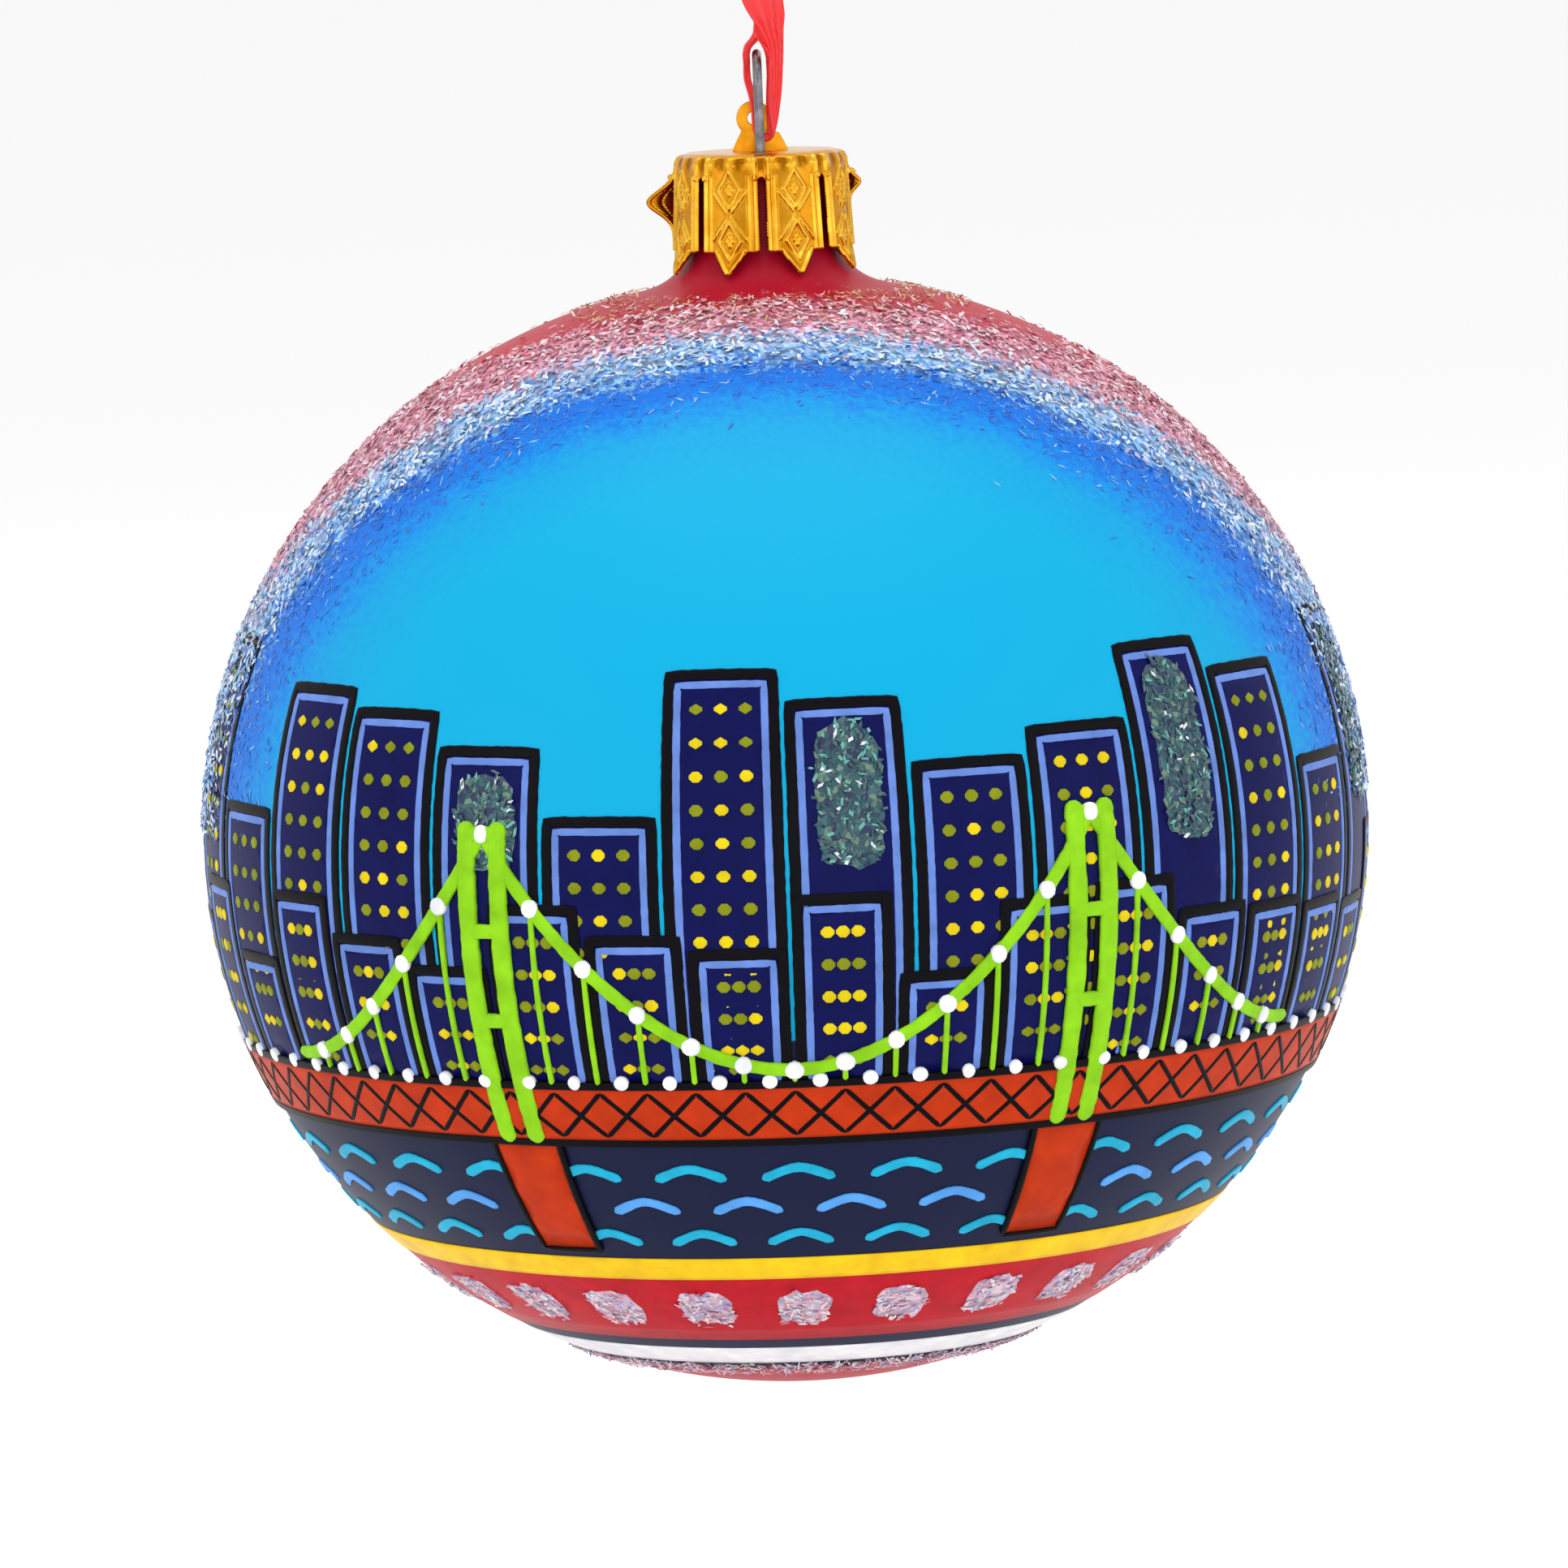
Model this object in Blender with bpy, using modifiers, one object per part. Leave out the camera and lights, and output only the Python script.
"""A blown-glass souvenir ball ornament, modelled as it comes apart on a bench.

A hollow glass ball with an open neck, a stamped gold crown cap, a spring wire
clip whose legs grip inside the neck, and a satin ribbon loop tied in a knot.
Metres, +Z up. The origin is the inside top of the ribbon loop, where a branch
or a hook carries the ornament, and the decorated side faces -Y.
"""

import math

import bmesh
import bpy
from mathutils import Vector

MM = 0.001

# Heights are counted from the flat top of the cap unless they say otherwise.
CAP_TOP = -48.0 * MM
BALL_CENTRE = CAP_TOP - 58.2 * MM

# The glass ball, blown slightly flatter than it is wide.
BALL_RADIUS = 50.0 * MM
BALL_HALF_HEIGHT = 47.7 * MM
GLASS = 1.0 * MM
NECK_RADIUS = 6.15 * MM
FILLET_RADIUS = 5.0 * MM
RIM_BELOW_CAP_TOP = 0.65 * MM
BALL_STEPS = 48
BALL_RINGS = 22
FILLET_RINGS = 6

# The crown cap, stamped from thin sheet.
SHEET = 0.35 * MM
PETALS = 8
CAP_PROFILE = [
    (6.30 * MM, 0.0),
    (6.90 * MM, -0.25 * MM),
    (7.15 * MM, -0.80 * MM),
    (7.20 * MM, -1.80 * MM),
    (7.55 * MM, -8.30 * MM),
    (8.18 * MM, -10.00 * MM),
]
CAP_STEPS = 64
SLIT_TOP = -1.9 * MM
SLIT_HALF = 0.28 * MM
SHOULDER_Z = -8.3 * MM
SHOULDER_HALF = 1.4 * MM
TIP_HALF_GAP = 2.42 * MM
SLIT_INNER_R = 6.65 * MM

# The eyelet tab, a tongue punched out of the cap's top and bent upright.
TAB_Y = 0.30 * MM
TAB_SHEET = 0.30 * MM
TAB_HEIGHT = 4.3 * MM
TAB_HEAD_R = 1.5 * MM
TAB_BASE_HALF = 2.4 * MM
TAB_SHOULDER_HALF = 1.7 * MM
TAB_SHOULDER_Z = 1.5 * MM
TAB_NECK_Z = 1.75 * MM
TAB_LEAN = -0.45 * MM
EYELET_R = 0.55 * MM
WINDOW_START_Y = 0.75 * MM

# The spring clip: a hairpin of wire through the cap, legs down the neck.
WIRE_R = 0.4 * MM
LEG_Y = 2.6 * MM
HAIRPIN_TOP = 8.7 * MM
LEG_END = -24.0 * MM
LEG_SPREAD = 4.3 * MM
WIRE_HOLE_R = 0.8 * MM

# The satin ribbon: x, y, height above the cap top, turn of its width from +Y
# towards +X in degrees, width and thickness. It starts under the knot on the
# front strand, goes down, through the wire loop and up the rear strand.
RIBBON_ROUTE = [
    (0.00, -0.60, 47.90, 90, 5.4, 0.40),
    (0.00, -1.90, 43.00, 90, 6.0, 0.40),
    (0.00, -2.80, 37.00, 90, 6.0, 0.40),
    (0.05, -3.10, 30.00, 88, 6.0, 0.40),
    (0.20, -2.90, 24.00, 78, 6.0, 0.40),
    (0.42, -2.50, 18.00, 58, 6.0, 0.40),
    (0.85, -1.95, 13.50, 40, 5.8, 0.45),
    (1.20, -1.40, 11.00, 34, 4.2, 0.50),
    (1.52, -0.90, 8.70, 34, 2.6, 0.48),
    (1.50, -0.88, 6.80, 38, 2.0, 0.50),
    (1.36, -0.92, 5.00, 40, 1.8, 0.52),
    (1.22, -0.97, 3.60, 36, 1.6, 0.55),
    (1.10, -0.97, 2.25, 16, 1.5, 0.60),
    (0.90, -0.97, 1.38, 0, 1.5, 0.60),
    (0.40, -0.97, 1.10, 0, 1.5, 0.60),
    (-0.08, -0.97, 1.38, 0, 1.5, 0.55),
    (-0.30, -0.97, 2.25, 0, 1.5, 0.45),
    (-0.34, -0.97, 3.50, 0, 1.5, 0.40),
    (-0.52, -0.88, 4.80, 0, 1.5, 0.38),
    (-0.84, -0.35, 6.10, 0, 1.9, 0.36),
    (-0.88, 0.15, 7.50, 0, 2.2, 0.36),
    (-0.78, 0.50, 8.75, 0, 2.8, 0.36),
    (0.05, 0.95, 9.95, 8, 3.6, 0.40),
    (0.50, 1.40, 11.50, 18, 4.8, 0.45),
    (0.45, 1.90, 13.80, 30, 5.7, 0.45),
    (0.25, 2.50, 18.00, 52, 6.0, 0.40),
    (0.00, 2.95, 24.00, 76, 6.0, 0.40),
    (0.00, 3.10, 30.00, 88, 6.0, 0.40),
    (0.00, 2.80, 37.00, 90, 6.0, 0.40),
    (0.00, 1.90, 43.00, 90, 6.0, 0.40),
    (0.00, 0.60, 47.90, 90, 5.4, 0.40),
]
STEPS_BETWEEN = 2

# The knot above the loop and its two cut tails.
KNOT_HEIGHT = 3.45 * MM
KNOT_SIZE = (4.2 * MM, 3.3 * MM, 3.2 * MM)
TAIL_ROUTE = [
    (1.0, -0.4, 3.6, 78, 3.6, 0.45),
    (3.4, -0.8, 6.4, 72, 5.4, 0.40),
    (5.4, -1.2, 9.6, 68, 6.0, 0.40),
    (6.6, -1.5, 13.0, 62, 6.0, 0.40),
    (7.2, -1.5, 16.2, 58, 6.0, 0.40),
]

COLLECTION = "Glass ball ornament"
CUTTERS = "Cutters"


def clear_scene():
    for old in list(bpy.data.objects):
        bpy.data.objects.remove(old, do_unlink=True)


def collection(name):
    made = bpy.data.collections.new(name)
    bpy.context.scene.collection.children.link(made)
    return made


def material(name, colour, roughness, metallic, transmission=0.0):
    made = bpy.data.materials.new(name)
    made.use_nodes = True
    shader = made.node_tree.nodes["Principled BSDF"]
    shader.inputs["Base Color"].default_value = (*colour, 1.0)
    shader.inputs["Roughness"].default_value = roughness
    shader.inputs["Metallic"].default_value = metallic
    shader.inputs["Transmission Weight"].default_value = transmission
    return made


def new_object(name, data, group, finish=None):
    made = bpy.data.objects.new(name, data)
    group.objects.link(made)
    if finish:
        data.materials.append(finish)
    return made


def mesh_of(name, shape):
    data = bpy.data.meshes.new(name)
    bmesh.ops.recalc_face_normals(shape, faces=shape.faces)
    shape.to_mesh(data)
    shape.free()
    return data


def shade(obj, degrees=35):
    obj.data.shade_smooth()
    obj.data.set_sharp_from_angle(angle=math.radians(degrees))


def cutter(obj):
    obj.hide_render = True
    obj.display_type = "WIRE"
    return obj


def boolean(obj, other, operation):
    made = obj.modifiers.new(f"{operation.title()} {other.name}", "BOOLEAN")
    made.operation = operation
    made.object = other


def turned(name, profile, steps, group, finish):
    """Turns a profile of (radius, height) points about Z."""
    data = bpy.data.meshes.new(name)
    points = [(radius, 0.0, height) for radius, height in profile]
    edges = [(i, i + 1) for i in range(len(points) - 1)]
    if profile[0][0] > 0:
        edges.append((len(points) - 1, 0))
    data.from_pydata(points, edges, [])
    obj = new_object(name, data, group, finish)
    screw = obj.modifiers.new("Turn", "SCREW")
    screw.angle = math.tau
    screw.steps = steps
    screw.render_steps = steps
    screw.use_merge_vertices = True
    screw.merge_threshold = 0.00002
    screw.use_smooth_shade = True
    return obj


def outline_prism(name, outline, low, high, group):
    """A prism of an (x, y) outline between two heights."""
    shape = bmesh.new()
    face = shape.faces.new([shape.verts.new((x, y, low)) for x, y in outline])
    lifted = bmesh.ops.extrude_face_region(shape, geom=[face])["geom"]
    top = [part for part in lifted if isinstance(part, bmesh.types.BMVert)]
    bmesh.ops.translate(shape, verts=top, vec=(0, 0, high - low))
    return new_object(name, mesh_of(name, shape), group)


def arc(centre, radius, start, end, count):
    """Points on an arc, angles in degrees."""
    angles = [math.radians(start + (end - start) * i / count) for i in range(count + 1)]
    return [(centre[0] + radius * math.cos(a), centre[1] + radius * math.sin(a)) for a in angles]


def fillet_join():
    """Where the shoulder fillet leaves the ball: its angle and its centre."""
    radius = NECK_RADIUS + FILLET_RADIUS
    for _ in range(8):
        share = radius / BALL_RADIUS
        slope = BALL_HALF_HEIGHT / BALL_RADIUS * share / math.sqrt(1 - share * share)
        turn = math.atan(slope)
        radius = NECK_RADIUS + FILLET_RADIUS - FILLET_RADIUS * math.sin(turn)
    height = BALL_HALF_HEIGHT * math.sqrt(1 - (radius / BALL_RADIUS) ** 2)
    centre = (NECK_RADIUS + FILLET_RADIUS, height + FILLET_RADIUS * math.cos(turn))
    return turn, centre


def ball_side(inset):
    """One face of the glass wall, from the neck's rim down to the bottom."""
    turn, centre = fillet_join()
    sweep_end = 270 - math.degrees(turn)
    rim = CAP_TOP - RIM_BELOW_CAP_TOP - BALL_CENTRE
    wide = BALL_RADIUS - inset
    tall = BALL_HALF_HEIGHT - inset
    points = [(NECK_RADIUS - inset, rim)]
    points += arc(centre, FILLET_RADIUS + inset, 180, sweep_end, FILLET_RINGS)
    first = math.asin(points[-1][0] / wide)
    for ring in range(1, BALL_RINGS):
        angle = first + (math.pi - first) * ring / BALL_RINGS
        points.append((wide * math.sin(angle), tall * math.cos(angle)))
    points.append((0.0, -tall))
    return points


def glass_ball(group):
    glass = material("red_satin_glass", (0.45, 0.01, 0.04), 0.35, 0.0, 0.3)
    # Up the inside from the bottom, over the neck's rim and down the outside.
    profile = ball_side(GLASS)[::-1] + ball_side(0.0)
    obj = turned("glass_ball", profile, BALL_STEPS, group, glass)
    obj.location.z = BALL_CENTRE
    return obj


def tab_outline():
    """The tab's outline as (x, height): a broad foot, a waist, a leaning round head."""
    head_z = TAB_HEIGHT - TAB_HEAD_R
    waist = math.degrees(math.asin((TAB_NECK_Z - head_z) / TAB_HEAD_R))
    foot = [(TAB_BASE_HALF, 0.0), (TAB_BASE_HALF * 0.9, 0.6 * MM), (TAB_SHOULDER_HALF, TAB_SHOULDER_Z)]
    head = arc((TAB_LEAN, head_z), TAB_HEAD_R, waist, 180 - waist, 16)
    return foot + head + [(-x, z) for x, z in reversed(foot)]


def cap_body(group, finish):
    """The cup of the cap: its flat top, rolled shoulder and flared skirt."""
    outer = [(0.0, 0.0)] + CAP_PROFILE
    inner = [(radius - SHEET, height) for radius, height in CAP_PROFILE[1:]]
    inner[0] = (CAP_PROFILE[0][0], -SHEET)
    inner.reverse()
    return turned("crown_cap", outer + inner + [(0.0, -SHEET)], CAP_STEPS, group, finish)


def petal_cutters(group):
    """Eight prisms that open a slit and trim both petals beside it."""
    bottom = CAP_PROFILE[-1][1] - 1.0 * MM
    tip_z = CAP_PROFILE[-1][1]
    half = [
        (TIP_HALF_GAP, bottom),
        (TIP_HALF_GAP, tip_z),
        (SHOULDER_HALF, SHOULDER_Z),
        (SLIT_HALF, SHOULDER_Z),
        (SLIT_HALF, SLIT_TOP - SLIT_HALF),
        (SLIT_HALF * 0.6, SLIT_TOP),
    ]
    outline = half + [(-u, z) for u, z in reversed(half)]
    made = []
    for index in range(PETALS):
        obj = outline_prism(f"petal_cutter_{index}", outline, SLIT_INNER_R, 9.5 * MM, group)
        obj.rotation_euler = (math.pi / 2, 0, math.tau * index / PETALS)
        obj.location.z = CAP_TOP
        made.append(cutter(obj))
    return made


def crown_cap(group, cutters):
    gold = material("gold_stamped_brass", (0.9, 0.55, 0.12), 0.25, 1.0)
    cap = cap_body(group, gold)
    cap.location.z = CAP_TOP
    tab = outline_prism("eyelet_tab", tab_outline(), -TAB_SHEET / 2, TAB_SHEET / 2, cutters)
    tab.rotation_euler = (math.pi / 2, 0, 0)
    tab.location = (0, TAB_Y, CAP_TOP - SHEET / 2)
    boolean(cap, cutter(tab), "UNION")
    eyelet = outline_prism("eyelet", arc((0, 0), EYELET_R, 0, 345, 23), -MM, MM, cutters)
    eyelet.rotation_euler = (math.pi / 2, 0, 0)
    eyelet.location = (TAB_LEAN, TAB_Y, CAP_TOP - SHEET / 2 + TAB_HEIGHT - TAB_HEAD_R)
    boolean(cap, cutter(eyelet), "DIFFERENCE")
    window = outline_prism("punched_window", tab_outline(), -MM, MM, cutters)
    window.location = (0, WINDOW_START_Y, CAP_TOP - SHEET / 2)
    boolean(cap, cutter(window), "DIFFERENCE")
    hole = outline_prism("wire_hole", arc((0, 0), WIRE_HOLE_R, 0, 345, 23), -MM, MM, cutters)
    hole.location = (0, -LEG_Y, CAP_TOP - SHEET / 2)
    boolean(cap, cutter(hole), "DIFFERENCE")
    for petal in petal_cutters(cutters):
        boolean(cap, petal, "DIFFERENCE")
    return cap


def spring_clip(group):
    """One bent wire: hairpin above the cap, sprung legs inside the neck."""
    steel = material("nickel_plated_wire", (0.55, 0.55, 0.58), 0.3, 1.0)
    arch_z = HAIRPIN_TOP - WIRE_R - LEG_Y
    leg = [
        (LEG_SPREAD - 0.9 * MM, LEG_END),
        (LEG_SPREAD, LEG_END + 2.2 * MM),
        (LEG_SPREAD, LEG_END + 5.0 * MM),
        (LEG_SPREAD, -10.0 * MM),
        (LEG_SPREAD - 0.5 * MM, -6.5 * MM),
        (LEG_Y + 0.35 * MM, -2.2 * MM),
        (LEG_Y, -0.9 * MM),
        (LEG_Y, 2.5 * MM),
    ]
    arch = arc((0.0, arch_z), LEG_Y, 0, 180, 12)
    points = leg + arch + [(-y, z) for y, z in reversed(leg)]
    curve = bpy.data.curves.new("spring_clip", "CURVE")
    curve.dimensions = "3D"
    curve.bevel_depth = WIRE_R
    curve.bevel_resolution = 2
    curve.use_fill_caps = True
    spline = curve.splines.new("POLY")
    spline.points.add(len(points) - 1)
    pivot = HAIRPIN_TOP - WIRE_R
    for point, (y, z) in zip(spline.points, points):
        point.co = (0.0, y, z - pivot, 1.0)
    obj = new_object("spring_clip", curve, group, steel)
    # The wire swings on the ribbon about the inside of its arch.
    obj.location.z = CAP_TOP + pivot
    return obj


def smooth_route(stations):
    """Points of a Catmull-Rom curve through the stations."""
    made = []
    last = len(stations) - 1
    for index in range(last):
        four = [stations[min(max(index + k, 0), last)] for k in (-1, 0, 1, 2)]
        for step in range(STEPS_BETWEEN):
            t = step / STEPS_BETWEEN
            made.append([catmull_rom(values, t) for values in zip(*four)])
    made.append(list(stations[last]))
    return made


def catmull_rom(values, t):
    a, b, c, d = values
    rise = 0.5 * (c - a)
    fall = 0.5 * (d - b)
    return (
        b * (2 * t**3 - 3 * t**2 + 1)
        + rise * (t**3 - 2 * t**2 + t)
        + c * (3 * t**2 - 2 * t**3)
        + fall * (t**3 - t**2)
    )


def band(name, route, base, group, finish):
    """A flat ribbon lofted along a route whose turn and width change."""
    stations = smooth_route(route)
    centres = [Vector((x * MM, y * MM, base + z * MM)) for x, y, z, *_ in stations]
    shape = bmesh.new()
    rings = []
    last = len(stations) - 1
    for index, (centre, station) in enumerate(zip(centres, stations)):
        along = centres[min(index + 1, last)] - centres[max(index - 1, 0)]
        turn = math.radians(station[3])
        across = Vector((math.sin(turn), math.cos(turn), 0.0))
        face = along.cross(across).normalized()
        across = face.cross(along).normalized()
        half = across * station[4] * MM / 2
        thick = face * station[5] * MM / 2
        corners = [half + thick, thick - half, -half - thick, half - thick]
        rings.append([shape.verts.new(centre + corner) for corner in corners])
    for ring, following in zip(rings, rings[1:]):
        for k in range(4):
            j = (k + 1) % 4
            shape.faces.new((ring[k], ring[j], following[j], following[k]))
    shape.faces.new(rings[0])
    shape.faces.new(rings[-1])
    return new_object(name, mesh_of(name, shape), group, finish)


def ribbon_knot(group, cutters, finish):
    """The overhand knot above the loop, with two tails cut off square."""
    shape = bmesh.new()
    bmesh.ops.create_uvsphere(shape, u_segments=16, v_segments=10, radius=1.0)
    for vert in shape.verts:
        vert.co = Vector([value * size for value, size in zip(vert.co, KNOT_SIZE)])
    knot = new_object("ribbon_knot", mesh_of("ribbon_knot", shape), group, finish)
    knot.location.z = KNOT_HEIGHT
    right = band("tail_right", TAIL_ROUTE, 0.0, cutters, finish)
    mirrored = [(-x, -y, z, 180 - turn, wide, thick) for x, y, z, turn, wide, thick in TAIL_ROUTE]
    left = band("tail_left", mirrored, 0.0, cutters, finish)
    for tail in (right, left):
        boolean(knot, cutter(tail), "UNION")
    return knot


def main():
    clear_scene()
    group = collection(COLLECTION)
    cutters = collection(CUTTERS)
    satin = material("red_satin_ribbon", (0.85, 0.03, 0.04), 0.45, 0.0)
    shade(band("ribbon_loop", RIBBON_ROUTE, CAP_TOP, group, satin))
    shade(ribbon_knot(group, cutters, satin))
    spring_clip(group)
    crown_cap(group, cutters)
    glass_ball(group)


main()
